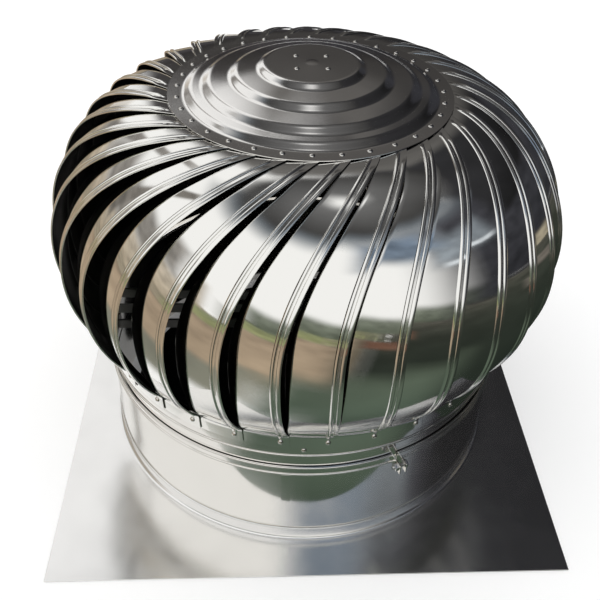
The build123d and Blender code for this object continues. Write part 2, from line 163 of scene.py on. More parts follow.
def mark_points(obj, label, kind, values):
    """Stores a value for each point of a piece, as a named attribute."""
    data = obj.data.attributes.new(label, kind, "POINT").data
    data.foreach_set("vector" if kind == "FLOAT_VECTOR" else "value", values)


def rounded(points, radius, steps=4):
    """An open path with each inner corner rounded off; radius is one value or one per corner."""
    path = [Vector(points[0])]
    radii = radius if isinstance(radius, (list, tuple)) else [radius] * (len(points) - 2)
    for i, corner_radius in enumerate(radii, start=1):
        before, corner, after = (Vector(points[j]) for j in (i - 1, i, i + 1))
        into, out = (before - corner), (after - corner)
        reach = min(corner_radius, 0.49 * into.length, 0.49 * out.length)
        start, end = corner + into.normalized() * reach, corner + out.normalized() * reach
        for k in range(steps + 1):
            t = k / steps
            path.append((1 - t) ** 2 * start + 2 * t * (1 - t) * corner + t * t * end)
    path.append(Vector(points[-1]))
    return path


def arc(centre, radius, start, end, steps):
    """Points on an arc, angles in degrees."""
    turns = [math.radians(start + (end - start) * k / steps) for k in range(steps + 1)]
    x, y = centre
    return [Vector((x + radius * math.cos(a), y + radius * math.sin(a))) for a in turns]


def roll_out(radius, height):
    """Half-round rolled edge that bulges off a wall, from below to above."""
    return arc((radius, height), ROLL, -90, 90, ROLL_STEPS)


def lathe(name, profile, segments=ROUND_SEGMENTS, start=0.0, sweep=TURN):
    """Turns a closed (radius, height) profile, listed anticlockwise, about Z."""
    full = abs(sweep - TURN) < 1e-9
    rows = segments if full else segments + 1
    count = len(profile)
    vertices = []
    for i in range(rows):
        a = start + sweep * i / segments
        vertices += [(p[0] * math.cos(a), p[0] * math.sin(a), p[1]) for p in profile]
    faces = []
    for i in range(segments):
        here, there = i * count, (i + 1) % rows * count
        for j in range(count):
            k = (j + 1) % count
            faces.append((here + j, there + j, there + k, here + k))
    if not full:
        faces.append(range(count - 1, -1, -1))
        faces.append(range((rows - 1) * count, rows * count))
    obj = piece(name, vertices, faces)
    if min(p[0] for p in profile) < 1e-9:  # close the poles
        mesh = bmesh.new()
        mesh.from_mesh(obj.data)
        bmesh.ops.remove_doubles(mesh, verts=mesh.verts[:], dist=1e-7)
        bmesh.ops.dissolve_degenerate(mesh, edges=mesh.edges[:], dist=1e-7)
        mesh.to_mesh(obj.data)
        mesh.free()
        obj.data.set_sharp_from_angle(angle=SHARP_ANGLE)
    return obj


def box_piece(name, place, size, bevel):
    """A small plate or block with eased edges; place is its centre matrix."""
    solid = bmesh.new()
    bmesh.ops.create_cube(solid, size=1.0, matrix=place @ Matrix.Diagonal((*size, 1)))
    return eased_piece(name, solid, bevel, 3)


def finish_piece(obj, material, body, slot, *replaced):
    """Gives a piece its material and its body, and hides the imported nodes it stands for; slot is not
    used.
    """
    obj.data.materials.clear()
    obj.data.materials.append(material)
    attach(obj, body)
    if replaced:
        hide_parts(*replaced)


# ------------------------------------------------------------------ materials
def new_material(name):
    """An empty node material with its Principled shader, and the tree and shader to work on."""
    material = bpy.data.materials.new(name)
    material.use_nodes = True
    tree = material.node_tree
    return material, tree, tree.nodes["Principled BSDF"]


SMEAR_SIZE = 45 * MM  # a wiping cloth's smears
LINE_LENGTH = 30 * MM  # polishing and turning lines; the real ones are about 0.1 mm apart and
LINE_STRETCH = 30  # would not show, so these stand LINE_LENGTH / LINE_STRETCH apart, 1 mm
LINE_DEPTH = 0.02 * MM
DULL_BACK = 0.3  # how much rougher an unpolished back is


def metal(
    name,
    colour,
    roughness,
    smear,
    ripple=0.0,
    ripple_size=60,
    grain=0.0,
    lathe_lines=False,
    inner_face=None,
):
    """Bare metal: smears change its roughness, waves bend its reflections, grain is its lines.

    ripple is the height of the waves and ripple_size their length, both in millimetres; the last
    argument is a darker colour, painted shade, for the side that the attribute "inner" marks.
    """
    material, tree, shader = new_material(name)
    shader.inputs["Base Color"].default_value = linear(colour)
    shader.inputs["Metallic"].default_value = 1.0
    shader.inputs["Roughness"].default_value = roughness
    place = add_node(tree, "ShaderNodeTexCoord")
    cloud = add_node(
        tree,
        "ShaderNodeTexNoise",
        values={"Scale": 1 / SMEAR_SIZE, "Detail": 2.0, "Roughness": 0.5},
        links={"Vector": place.outputs["Object"]},
    )
    levels = add_node(
        tree,
        "ShaderNodeMapRange",
        values={
            "From Min": 0.35,
            "From Max": 0.75,
            "To Min": roughness,
            "To Max": roughness + smear,
        },
        links={"Value": cloud.outputs["Fac"]},
    )
    tree.links.new(levels.outputs["Result"], shader.inputs["Roughness"])
    # The side that the attribute "inner" marks gets a darker colour, painted shade, and a rougher
    # finish
    if inner_face:
        inner = add_node(tree, "ShaderNodeAttribute", {"attribute_name": "inner"})
        tone = add_node(
            tree,
            "ShaderNodeMix",
            {"data_type": "RGBA"},
            {6: linear(colour), 7: linear(inner_face)},
            {0: inner.outputs["Fac"]},
        )
        dulled = add_node(
            tree,
            "ShaderNodeMath",
            {"operation": "MULTIPLY_ADD"},
            {1: DULL_BACK},
            {0: inner.outputs["Fac"], 2: levels.outputs["Result"]},
        )
        tree.links.new(tone.outputs[2], shader.inputs["Base Color"])
        tree.links.new(dulled.outputs[0], shader.inputs["Roughness"])
    bump_from = None
    if ripple:
        wave = add_node(
            tree,
            "ShaderNodeTexNoise",
            values={"Scale": 1 / (ripple_size * MM), "Detail": 1.0, "Roughness": 0.4},
            links={"Vector": place.outputs["Object"]},
        )
        bump_from = add_node(
            tree,
            "ShaderNodeBump",
            values={"Strength": 1.0, "Distance": ripple * MM, "Filter Width": 4.0},
            links={"Height": wave.outputs["Fac"]},
        )
    if grain:
        # Bars are lined along X, turned pieces round Z
        across = 1 if lathe_lines else LINE_STRETCH
        stretch = add_node(
            tree,
            "ShaderNodeMapping",
            values={"Scale": (1, across, LINE_STRETCH)},
            links={"Vector": place.outputs["Object"]},
        )
        lines = add_node(
            tree,
            "ShaderNodeTexNoise",
            values={"Scale": 1 / LINE_LENGTH, "Detail": 3.0, "Roughness": 0.6},
            links={"Vector": stretch.outputs["Vector"]},
        )
        links = {"Height": lines.outputs["Fac"]}
        if bump_from:
            links["Normal"] = bump_from.outputs["Normal"]
        bump_from = add_node(
            tree, "ShaderNodeBump", values={"Strength": grain, "Distance": LINE_DEPTH}, links=links
        )
    if bump_from:
        tree.links.new(bump_from.outputs["Normal"], shader.inputs["Normal"])
    return material


# Mirror-polished stainless strip, formed into vanes: sharp reflections, bent a little where the
# sheet is not quite true. Only the outer face is polished; the back is rougher, and its colour is
# darkened as painted shade, so the insides of the gaps stay dark
mirror_vane = metal(
    "mirror_polished_stainless_vane",
    "#F1F0EC",
    0.05,
    smear=0.05,
    ripple=0.25,
    ripple_size=70,
    # the inner face's dark colour is painted shade for the insides of the gaps
    inner_face="#3C3937",
)
# The same sheet rolled into the neck and its collar: a longer, calmer wave and a softer mirror
mirror_sheet = metal(
    "mirror_polished_stainless_sheet", "#F0EEE9", 0.07, smear=0.06, ripple=0.2, ripple_size=90
)
# Stainless spun on a lathe, then buffed: the steps gather light in rings, softer than on the vanes
spun_cap = metal("spun_stainless_cap", "#EAE8E5", 0.09, smear=0.08, ripple=0.1)
# Flat sheet left in its cold-rolled finish: satin, it turns a room into wide fields of light
# and dark
flat_plate = metal(
    "cold_rolled_stainless_plate", "#F0EFED", 0.17, smear=0.06, ripple=0.15, ripple_size=160
)
# Roll-formed rings and the clamp band: bright beads with a thin line of light along each
rolled_ring = metal("rolled_stainless_ring", "#F0EEEA", 0.08, smear=0.06, ripple=0.15)
# Blind rivets, cold-headed stainless: small bright domes, a little greyer than the sheet
rivet_metal = metal("cold_headed_stainless_rivets", "#DEDCD8", 0.12, smear=0.06)
# Hot-rolled flat bar, pickled: grey and matt with lines along the bar
bar_metal = metal("pickled_steel_bar", "#B4B3B0", 0.32, smear=0.12, grain=0.5)
# Zinc-plated bolts and nuts: bright, slightly bluish, clouded by handling
fastener_metal = metal("zinc_plated_fasteners", "#C4C5C6", 0.2, smear=0.1)
# Turned stainless rod: fine tool lines round it spread each highlight along the rod
turned_metal = metal(
    "turned_stainless_rod", "#BDBBB8", 0.22, smear=0.08, grain=0.5, lathe_lines=True
)
# Ground bearing steel: darker and cooler than stainless, near mirror on its races
race_metal = metal("ground_bearing_steel", "#A9A9AC", 0.16, smear=0.05, grain=0.3, lathe_lines=True)
# Machined aluminium housings: pale, satin, with turning lines
housing_metal = metal("machined_aluminium", "#B9BCBF", 0.3, smear=0.1, grain=0.4, lathe_lines=True)


# ------------------------------------------------------------------ fixed sheet pieces
# Base plate: square sheet, hole drawn up into a collar with a rolled bead
PLATE_EASE = 0.35 * MM  # the sheared edge, eased
BEAD_SINK = 0.2 * MM
collar_inner = neck_radius + SEAT_GAP
collar_outer = collar_inner + SHEET
flat_from = neck_radius + 24 * MM
collar_profile = [Vector((flat_from, 0)), Vector((flat_from, plate_sheet))]
collar_profile += rounded(
    [
        (flat_from, plate_sheet),
        (collar_outer, plate_sheet),
        (collar_outer, base_collar_top - 2 * ROLL),
    ],
    5 * MM,
    6,
)[1:]
collar_profile += roll_out(collar_outer - BEAD_SINK, base_collar_top - ROLL)
collar_profile += [Vector((collar_inner, z)) for z in (base_collar_top - 0.6 * MM, 4 * MM, 0)]
collar_profile = collar_profile[::-1]


def plate_piece():
    """Drawn collar turned about Z, then flat sheet out to the square's edge, with eased rims."""
    count = len(collar_profile)
    vertices, faces = [], []
    rims = [
        (plate_half, PLATE_EASE),
        (plate_half - PLATE_EASE, 0),
        (plate_half, plate_sheet - PLATE_EASE),
        (plate_half - PLATE_EASE, plate_sheet),
    ]
    for i in range(ROUND_SEGMENTS):
        a = TURN * i / ROUND_SEGMENTS
        c, s = math.cos(a), math.sin(a)
        vertices += [(p[0] * c, p[0] * s, p[1]) for p in collar_profile]
        to_side = 1 / max(abs(c), abs(s))
        vertices += [(r * to_side * c, r * to_side * s, z) for r, z in rims]
    row = count + len(rims)
    top, bottom = count - 2, count - 1  # where the profile meets the flat sheet
    for i in range(ROUND_SEGMENTS):
        a, b = i * row, (i + 1) % ROUND_SEGMENTS * row
        for j in range(count):
            k = (j + 1) % count
            if {j, k} == {top, bottom}:
                continue
            faces.append((a + j, a + k, b + k, b + j))
        low, low_in, high, high_in = (count + n for n in range(4))
        faces.append((a + top, a + high_in, b + high_in, b + top))
        faces.append((a + high_in, a + high, b + high, b + high_in))
        faces.append((a + high, a + low, b + low, b + high))
        faces.append((a + low, a + low_in, b + low_in, b + low))
        faces.append((a + low_in, a + bottom, b + bottom, b + low_in))
    return piece("base_plate_sheet", vertices, faces)


finish_piece(plate_piece(), flat_plate, "stator", "polished_stainless", "base_plate")

# Neck tube with its stop ring inside, and the sheet's lap down its front
stop_ring_bottom = mount_size("throat_bore", "length_mm")
stop_ring_bore = throat_radius - 2 * MM
neck_profile = [
    (throat_radius, 0),
    (neck_radius, 0),
    (neck_radius, neck_top),
    (throat_radius, neck_top),
    (throat_radius, collar_bottom - SEAT_GAP),
    (stop_ring_bore, collar_bottom - SEAT_GAP),
    (stop_ring_bore, stop_ring_bottom),
    (throat_radius, stop_ring_bottom),
]
neck = lathe("neck_sheet", neck_profile)
finish_piece(neck, mirror_sheet, "stator", "polished_stainless", "neck_tube")

lap_width = 12 * MM
lap_half = lap_width / 2 / neck_radius
lap_profile = rounded(
    [
        (neck_radius - 0.3 * MM, base_collar_top + MM),
        (neck_radius + 0.9 * SHEET, base_collar_top + MM),
        (neck_radius + 0.9 * SHEET, band_bottom - 2 * MM),
        (neck_radius - 0.3 * MM, band_bottom - 2 * MM),
    ],
    0.4 * MM,
)
neck_lap = lathe("neck_lap", lap_profile, 8, LAP_SEAM_ANGLE - lap_half, 2 * lap_half)
finish_piece(neck_lap, mirror_sheet, "stator", "polished_stainless")

# Upper collar: its top edge is rolled inwards
collar_bore = collar_radius - SHEET
collar_path = [Vector((collar_bore, collar_bottom)), Vector((collar_radius, collar_bottom))]
collar_path += [Vector((collar_radius, collar_top - ROLL))]
collar_path += arc((collar_radius - ROLL, collar_top - ROLL), ROLL, 0, 240, 12)
collar_path += [Vector((collar_bore, collar_top - 3 * ROLL))]
upper_collar = lathe("upper_collar_sheet", collar_path)
finish_piece(upper_collar, mirror_sheet, "stator", "polished_stainless", "upper_collar")

# Clamp band: rolled edges, lugs bent outwards, bolt and nut
BAND_SHEET = 1.2 * MM
BAND_SEGMENTS = 252
lug_gap = 7 * MM
lug_sheet = 2 * MM
lug_reach = 24 * MM
band_inner = neck_radius + SEAT_GAP
band_outer = band_inner + BAND_SHEET
lug_half_angle = (lug_gap / 2 + lug_sheet) / band_outer
band_path = [Vector((band_inner, band_bottom)), Vector((band_outer, band_bottom))]
band_path += roll_out(band_outer, band_bottom + ROLL)
band_path += [Vector((band_outer, band_bottom + 2 * ROLL + 0.6 * MM))]
band_path += [Vector((band_outer, band_top - 2 * ROLL - 0.6 * MM))]
band_path += roll_out(band_outer, band_top - ROLL)
band_path += [Vector((band_inner, band_top))]
band_start, band_sweep = LUG_ANGLE + lug_half_angle, TURN - 2 * lug_half_angle
clamp_band = lathe("clamp_band_sheet", band_path, BAND_SEGMENTS, band_start, band_sweep)
finish_piece(clamp_band, rolled_ring, "stator", "polished_stainless", "clamp_band")

band_middle = (band_bottom + band_top) / 2
band_height = band_top - band_bottom
lug_place = Matrix.Rotation(LUG_ANGLE, 4, "Z") @ Matrix.Translation((band_inner, 0, band_middle))
for side, lug_name in ((1, "clamp_lug_left"), (-1, "clamp_lug_right")):
    centre = Matrix.Translation((lug_reach / 2, side * (lug_gap + lug_sheet) / 2, 0))
    lug = box_piece(lug_name, lug_place @ centre, (lug_reach, lug_sheet, band_height), 0.5 * MM)
    finish_piece(lug, rolled_ring, "stator", "polished_stainless")

BOLT_RADIUS = 3 * MM
BOLT_SEGMENTS = 48
HEX_FLATS = 10 * MM  # across the flats of an M6 head or nut
HEX_EASE = 0.3 * MM
bolt_place = lug_place @ Matrix.Translation((BAND_SHEET + lug_reach * 0.62, 0, 0))


def turned_on(name, place, profile):
    """A piece turned about the local Y axis of a place, from (radius, distance) points."""
    obj = lathe(name, profile, BOLT_SEGMENTS)
    obj.data.transform(place @ Matrix.Rotation(-math.pi / 2, 4, "X"))
    return obj


def hexagon_on(name, place, start, height):
    """An eased hexagon about the local Y axis of a place."""
    solid = bmesh.new()
    bmesh.ops.create_cone(
        solid,
        cap_ends=True,
        segments=6,
        radius1=HEX_FLATS / math.sqrt(3),
        radius2=HEX_FLATS / math.sqrt(3),
        depth=abs(height),
        matrix=place
        @ Matrix.Rotation(-math.pi / 2, 4, "X")
        @ Matrix.Translation((0, 0, start + height / 2)),
    )
    return eased_piece(name, solid, HEX_EASE, 2)


lug_outer = lug_gap / 2 + lug_sheet + SEAT_GAP
bolt_head_height = 4 * MM
bolt_overhang = 7 * MM
thread_pitch = 1.0 * MM
bolt_length = 2 * lug_outer + bolt_overhang
thread_profile = [Vector((0, lug_outer + MM)), Vector((0, lug_outer - bolt_length))]
thread_profile += [Vector((BOLT_RADIUS - 0.9 * MM, lug_outer - bolt_length))]
thread_turns = int((bolt_length - 2 * MM) / thread_pitch)
for k in range(thread_turns):
    low = lug_outer - bolt_length + 0.6 * MM + k * thread_pitch
    thread_profile.append(Vector((BOLT_RADIUS - 0.45 * MM, low)))
    thread_profile.append(Vector((BOLT_RADIUS, low + thread_pitch / 2)))
thread_profile += [Vector((BOLT_RADIUS - 0.1 * MM, lug_outer + MM))]
bolt = turned_on("clamp_bolt_thread", bolt_place, thread_profile)
finish_piece(bolt, fastener_metal, "stator", "bright_fasteners", "clamp_bolt")
bolt_head = hexagon_on("clamp_bolt_head", bolt_place, lug_outer, bolt_head_height)
finish_piece(bolt_head, fastener_metal, "stator", "bright_fasteners")
clamp_nut = hexagon_on("clamp_nut_hexagon", bolt_place, -lug_outer, -bolt_head_height)
finish_piece(clamp_nut, fastener_metal, "stator", "bright_fasteners", "clamp_nut")


# ------------------------------------------------------------------ rotor sheet pieces
# Cap: spun in one piece, its four risers eased into the treads
RISER_RADII = [r * MM for r in (66.0, 102.0, 138.0, 162.0)]
RISER_WIDTH = 10 * MM
RISER_DROP = 6 * MM
RISER_EASE = 3.6 * MM
CAP_SEGMENTS = 192
# The small rise in the middle, where the blank was held: radius and height in millimetres
NUB = [(0, 1.2), (3.0, 1.1), (6.0, 0.75), (8.5, 0.2), (11.0, 0.0)]
tread_length = RISER_RADII[-1] - RISER_RADII[0] - 3 * RISER_WIDTH
tread_slope = (cap_centre_z - cap_rim_z - 4 * RISER_DROP) / tread_length
cap_corners = [(0.0, cap_centre_z), (RISER_RADII[0] - RISER_WIDTH / 2, cap_centre_z)]
for radius in RISER_RADII:
    last_radius, last_z = cap_corners[-1]
    if radius > RISER_RADII[0]:
        tread_end = radius - RISER_WIDTH / 2
        last_z -= (tread_end - last_radius) * tread_slope
        cap_corners.append((tread_end, last_z))
    cap_corners.append((radius + RISER_WIDTH / 2, last_z - RISER_DROP))
cap_corners.append((cap_rim_radius, cap_rim_z))
cap_face = rounded(cap_corners, RISER_EASE, 6)
cap_face[:1] = [Vector((r * MM, cap_centre_z + rise * MM)) for r, rise in NUB]
cap_profile = [Vector((p[0], p[1] - SHEET)) for p in cap_face] + cap_face[::-1]
cap = lathe("cap_spun_sheet", cap_profile, CAP_SEGMENTS)
finish_piece(cap, spun_cap, "rotor", "polished_stainless", "cap")

# Lower ring: beaded below, curled in above
RING_CURL = 2 * MM
ring_wall = ring_radius - SHEET
ring_path = [Vector((ring_wall, ring_bottom))]
ring_path += roll_out(ring_radius, ring_bottom + ROLL)
ring_path += [Vector((ring_radius, ring_bottom + 2 * ROLL + 0.5 * MM))]
ring_path += arc((ring_radius - RING_CURL, ring_top - RING_CURL), RING_CURL, 0, 250, 12)
ring_path += [Vector((ring_wall, ring_top - 3 * RING_CURL))]
rotor_ring = lathe("rotor_ring_sheet", ring_path)
finish_piece(rotor_ring, rolled_ring, "rotor", "polished_stainless", "rotor_ring")


# ------------------------------------------------------------------ patterns made by rule
def geometry_tree(name, inputs):
    """An empty geometry tree with its named inputs; gives the tree and its input sockets."""
    tree = bpy.data.node_groups.new(name, "GeometryNodeTree")
    tree.interface.new_socket("Geometry", in_out="INPUT", socket_type="NodeSocketGeometry")
    for label, kind in inputs.items():
        tree.interface.new_socket(label, in_out="INPUT", socket_type="NodeSocket" + kind)
    tree.interface.new_socket("Geometry", in_out="OUTPUT", socket_type="NodeSocketGeometry")
    return tree, add_node(tree, "NodeGroupInput").outputs


def grow(obj, tree, values):
    """Runs a geometry tree on an object and keeps the result as the object's plain mesh."""
    modifier = obj.modifiers.new(tree.name, "NODES")
    modifier.node_group = tree
    for item in tree.interface.items_tree:
        if item.in_out == "INPUT" and item.name in values:
            modifier[item.identifier] = values[item.name]
    bpy.context.view_layer.update()
    graph = bpy.context.evaluated_depsgraph_get()
    mesh = bpy.data.meshes.new_from_object(obj.evaluated_get(graph))
    obj.modifiers.clear()
    obj.data = mesh
    mesh.shade_smooth()
    mesh.set_sharp_from_angle(angle=GROWN_SHARP_ANGLE)


def ring_of_copies(tree, copied, count, first_angle, turn, place, material):
    """Ends a tree: copies stand round Z, are made real, and get their material.

    place moves the first copy out from the axis and turn tips it; without them it stays put.
    """
    points = add_node(tree, "GeometryNodePoints", links={"Count": count})
    number = add_node(tree, "GeometryNodeInputIndex")
    share = add_node(
        tree,
        "ShaderNodeMath",
        {"operation": "DIVIDE"},
        links={0: number.outputs[0], 1: count},
    )
    angle = add_node(
        tree,
        "ShaderNodeMath",
        {"operation": "MULTIPLY_ADD"},
        {1: TURN},
        {0: share.outputs[0], 2: first_angle},
    )
    turns = {"Y": turn, "Z": angle.outputs[0]} if turn else {"Z": angle.outputs[0]}
    rotation = add_node(tree, "ShaderNodeCombineXYZ", links=turns)
    if place:
        spot = add_node(
            tree,
            "ShaderNodeVectorRotate",
            {"rotation_type": "Z_AXIS"},
            links={"Vector": place, "Angle": angle.outputs[0]},
        )
        points = add_node(
            tree,
            "GeometryNodeSetPosition",
            links={"Geometry": points.outputs[0], "Position": spot.outputs[0]},
        )
    copies = add_node(
        tree,
        "GeometryNodeInstanceOnPoints",
        links={"Points": points.outputs[0], "Instance": copied, "Rotation": rotation.outputs[0]},
    )
    real = add_node(tree, "GeometryNodeRealizeInstances", links={"Geometry": copies.outputs[0]})
    dressed = add_node(
        tree, "GeometryNodeSetMaterial", links={"Geometry": real.outputs[0], "Material": material}
    )
    add_node(tree, "NodeGroupOutput", links={0: dressed.outputs[0]})


# ------------------------------------------------------------------ vanes
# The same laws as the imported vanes: a tab under the cap, a shoulder, a belly, a foot on the ring
TAB = 19 * MM
VANE_RIM_Z = cap_rim_z - SHEET - SEAT_GAP
CREASE_RADIUS, CREASE_Z = 313 * MM, 490 * MM
BELLY_RADIUS, BELLY_Z = 356.8 * MM, 361 * MM
foot_radius = ring_radius + 2 * SHEET + 16 * SEAT_GAP
ring_rivet_z = ring_bottom + 30 * MM
shoulder_drop = VANE_RIM_Z - CREASE_Z
shoulder_run = CREASE_RADIUS - cap_rim_radius
shoulder_radius = (shoulder_run**2 + shoulder_drop**2) / (2 * shoulder_drop)
shoulder_length = shoulder_radius * math.asin(shoulder_run / shoulder_radius)
belly_inset, belly_rise = BELLY_RADIUS - CREASE_RADIUS, CREASE_Z - BELLY_Z
belly_arc = (belly_inset**2 + belly_rise**2) / (2 * belly_inset)
belly_centre = BELLY_RADIUS - belly_arc
belly_start = math.asin(belly_rise / belly_arc)
belly_end = -math.acos((foot_radius - belly_centre) / belly_arc)
widest = shoulder_length + belly_arc * belly_start
curve_length = shoulder_length + belly_arc * (belly_start - belly_end)
foot_z = BELLY_Z + belly_arc * math.sin(belly_end)
vane_end = curve_length + foot_z - ring_rivet_z + 11 * MM

TOP_SWEEP, TOP_SWEEP_POWER = math.radians(27.5), 2.3  # how far a vane turns above its widest place
FOOT_SWEEP = math.radians(1.0)  # and below it
HOLLOW, HOLLOW_DEPTH = 1.15, 17 * MM  # how the face sinks towards its inner edge
FIRST_VANE = 0.41  # where the first vane's hem stands, in pitches from the rest angle
HEM_SPACING = 10.5 * MM
EDGE_WIDTH = 20 * MM  # the hem, the bead and the folded inner edge keep their size
TAB_LAP, FOOT_LAP, VANE_GAP, LAP_FADE = 0.42, 0.27, 0.05, 60 * MM


def meridian(s):
    """Radius, height and outward normal of a vane's face, s from the cap's rim."""
    if s <= 0:
        return cap_rim_radius + s, VANE_RIM_Z, 0.0, 1.0
    if s < shoulder_length:
        a = s / shoulder_radius
        out, drop = shoulder_radius * math.sin(a), shoulder_radius * (1 - math.cos(a))
        return cap_rim_radius + out, VANE_RIM_Z - drop, math.sin(a), math.cos(a)
    if s < curve_length:
        b = belly_start - (s - shoulder_length) / belly_arc
        out, rise = belly_arc * math.cos(b), belly_arc * math.sin(b)
        return belly_centre + out, BELLY_Z + rise, math.cos(b), math.sin(b)
    return foot_radius, foot_z - (s - curve_length), 1.0, 0.0


def bead_angle(s):
    """How far the bead line has turned at length s, led by the sweep near the cap."""
    if s < widest:
        return TOP_SWEEP * (1 - s / widest) ** TOP_SWEEP_POWER
    return FOOT_SWEEP * ((s - widest) / (curve_length - widest)) ** 2


def fade(value, start, end):
    """Nought at start, one at end, eased between."""
    t = min(max((value - start) / (end - start), 0), 1)
    return t * t * (3 - 2 * t)


def vane_row(s):
    """Hem angle, angle per metre across, width across and depth of the inner edge at length s."""
    radius = meridian(s)[0]
    slope = radius * (bead_angle(s + MM) - bead_angle(s - MM)) / (2 * MM)
    spread = 1 / (radius * math.cos(math.atan(slope)))
    top_fade = min(max(1 - s / LAP_FADE, 0), 1) ** 2
    foot_fade = min(max(1 - (curve_length - s) / LAP_FADE, 0), 1) ** 2
    lap = (TAB_LAP + VANE_GAP) * top_fade + (FOOT_LAP + VANE_GAP) * foot_fade - VANE_GAP
    share = min(max(s / curve_length, 0), 1)
    opened = max(math.sin(math.pi * share**1.35), 0) ** 1.2
    dip = (SHEET + 8 * SEAT_GAP) * (1 + max(lap, 0)) + HOLLOW_DEPTH * opened
    return bead_angle(s) + HEM_SPACING * spread, spread, PITCH * (1 + lap) / spread, dip


# Cross-section in millimetres: across from the hem's edge, share of the free width, lift
VANE_HEM = [(0.0, 0.2), (0.2, 1.0), (1.0, 1.5), (4.6, 1.5), (5.3, 1.0), (5.7, 0.0)]
VANE_BEAD = [(8.0, 0.0), (8.5, 0.9), (9.4, 1.75), (10.5, 2.0)]
VANE_BEAD += [(11.6, 1.75), (12.5, 0.9), (13.0, 0.0)]
VANE_FOLD = [(18.8, 0.0), (19.7, -0.15), (20.0, -0.5), (19.7, -0.85), (18.8, -1.0), (14.2, -1.0)]
# What lies lower gets the rougher finish and the painted shade of the vanes' insides
INNER_LIFT = -0.9  # what lies lower is the sheet's unpolished inner face


def section_row(s):
    """The closed section at length s as (across, share, lift), clockwise seen down the vane."""
    end = curve_length
    hem = fade(s, 16 * MM, 24 * MM) * (1 - fade(s, end - 12 * MM, end - 2 * MM))
    bead = fade(s, 2 * MM, 12 * MM) * (1 - fade(s, end - 2 * MM, end + 8 * MM))
    fold = 1 + fade(s, 30 * MM, 60 * MM) * (1 - fade(s, end - 40 * MM, end - 15 * MM))
    row = [(x, 0.0, z * max(hem, 0.02)) for x, z in VANE_HEM]
    row += [(x, 0.0, z * bead) for x, z in VANE_BEAD]
    row += [(14.0, share, 0.0) for share in (0.0, 0.2, 0.4, 0.6, 0.8, 1.0)]
    row += [(x, 1.0, z * fold) for x, z in VANE_FOLD]
    row += [(14.0, share, -1.0) for share in (0.98, 0.6, 0.2)]
    row += [(0.8, 0.0, -1.0), (0.1, 0.0, -0.5)]
    return row


# Rows down a vane: close together near the cap and the foot, where the section changes
END_ROWS, MIDDLE_ROWS = 10, 56
TOP_STEP, FOOT_STEP = 3 * MM, 4 * MM
END_LENGTH = 30 * MM
middle_length = curve_length - 2 * END_LENGTH
vane_lengths = [-TAB, -TAB / 2, -MM, MM]
vane_lengths += [k * TOP_STEP for k in range(1, END_ROWS + 1)]
vane_lengths += [END_LENGTH + middle_length * k / MIDDLE_ROWS for k in range(1, MIDDLE_ROWS + 1)]
vane_lengths += [curve_length - END_LENGTH + k * FOOT_STEP for k in range(1, END_ROWS + 1)]
vane_lengths += [vane_end]

strip_points, strip_faces, strip_rows, strip_shares, strip_sides = [], [], [], [], []
for i, s in enumerate(vane_lengths):
    section = section_row(s)
    for across, share, lift in section:
        strip_points.append((across * MM, s, lift * MM))
        strip_rows.append(i)
        strip_shares.append(share)
        strip_sides.append(float(lift < INNER_LIFT))
ring_size = len(section)
for i in range(len(vane_lengths) - 1):
    for j in range(ring_size):
        k = (j + 1) % ring_size
        a, b = i * ring_size, (i + 1) * ring_size
        strip_faces.append((a + j, a + k, b + k, b + j))
strip_faces.append(tuple(range(ring_size - 1, -1, -1)))
strip_faces.append(tuple(range(len(strip_points) - ring_size, len(strip_points))))
vanes = piece("vanes_swept", strip_points, strip_faces)
mark_points(vanes, "row", "INT", strip_rows)
mark_points(vanes, "share", "FLOAT", strip_shares)
mark_points(vanes, "inner", "FLOAT", strip_sides)

line_rows = [meridian(s) for s in vane_lengths]
vane_line = piece("vane_line", [(r, 0, z) for r, z, _, _ in line_rows], [])
outwards = [value for _, _, nr, nz in line_rows for value in (nr, 0.0, nz)]
mark_points(vane_line, "outwards", "FLOAT_VECTOR", outwards)
columns = zip(*map(vane_row, vane_lengths))
for label, column in zip(("hem_angle", "spread", "width", "dip"), columns):
    mark_points(vane_line, label, "FLOAT", column)

tree, given = geometry_tree(
    "swept_vanes",
    {
        "Vane line": "Object",
        "Edge width": "Float",
        "Hollow": "Float",
        "Vane count": "Int",
        "First angle": "Float",
        "Material": "Material",
    },
)
line_shape = add_node(tree, "GeometryNodeObjectInfo", links={"Object": given["Vane line"]})
row_number = add_node(
    tree,
    "GeometryNodeInputNamedAttribute",
    {"data_type": "INT"},
    {"Name": "row"},
)
sampled = {}
for label, kind in (
    ("outwards", "FLOAT_VECTOR"),
    ("hem_angle", "FLOAT"),
    ("spread", "FLOAT"),
    ("width", "FLOAT"),
    ("dip", "FLOAT"),
    ("position", "FLOAT_VECTOR"),
):
    read = add_node(tree, "GeometryNodeInputNamedAttribute", {"data_type": kind}, {"Name": label})
    sample = add_node(
        tree,
        "GeometryNodeSampleIndex",
        {"data_type": kind},
        links={
            "Geometry": line_shape.outputs["Geometry"],
            "Value": read.outputs["Attribute"],
            "Index": row_number.outputs["Attribute"],
        },
    )
    sampled[label] = sample.outputs[0]
share_read = add_node(
    tree,
    "GeometryNodeInputNamedAttribute",
    {"data_type": "FLOAT"},
    {"Name": "share"},
)
flat_place = add_node(
    tree, "ShaderNodeSeparateXYZ", links={0: add_node(tree, "GeometryNodeInputPosition").outputs[0]}
)
free_width = add_node(
    tree,
    "ShaderNodeMath",
    {"operation": "SUBTRACT"},
    links={0: sampled["width"], 1: given["Edge width"]},
)
across = add_node(
    tree,
    "ShaderNodeMath",
    {"operation": "MULTIPLY_ADD"},
    links={0: share_read.outputs["Attribute"], 1: free_width.outputs[0], 2: flat_place.outputs["X"]},
)
turned = add_node(
    tree,
    "ShaderNodeMath",
    {"operation": "MULTIPLY"},
    links={0: across.outputs[0], 1: sampled["spread"]},
)
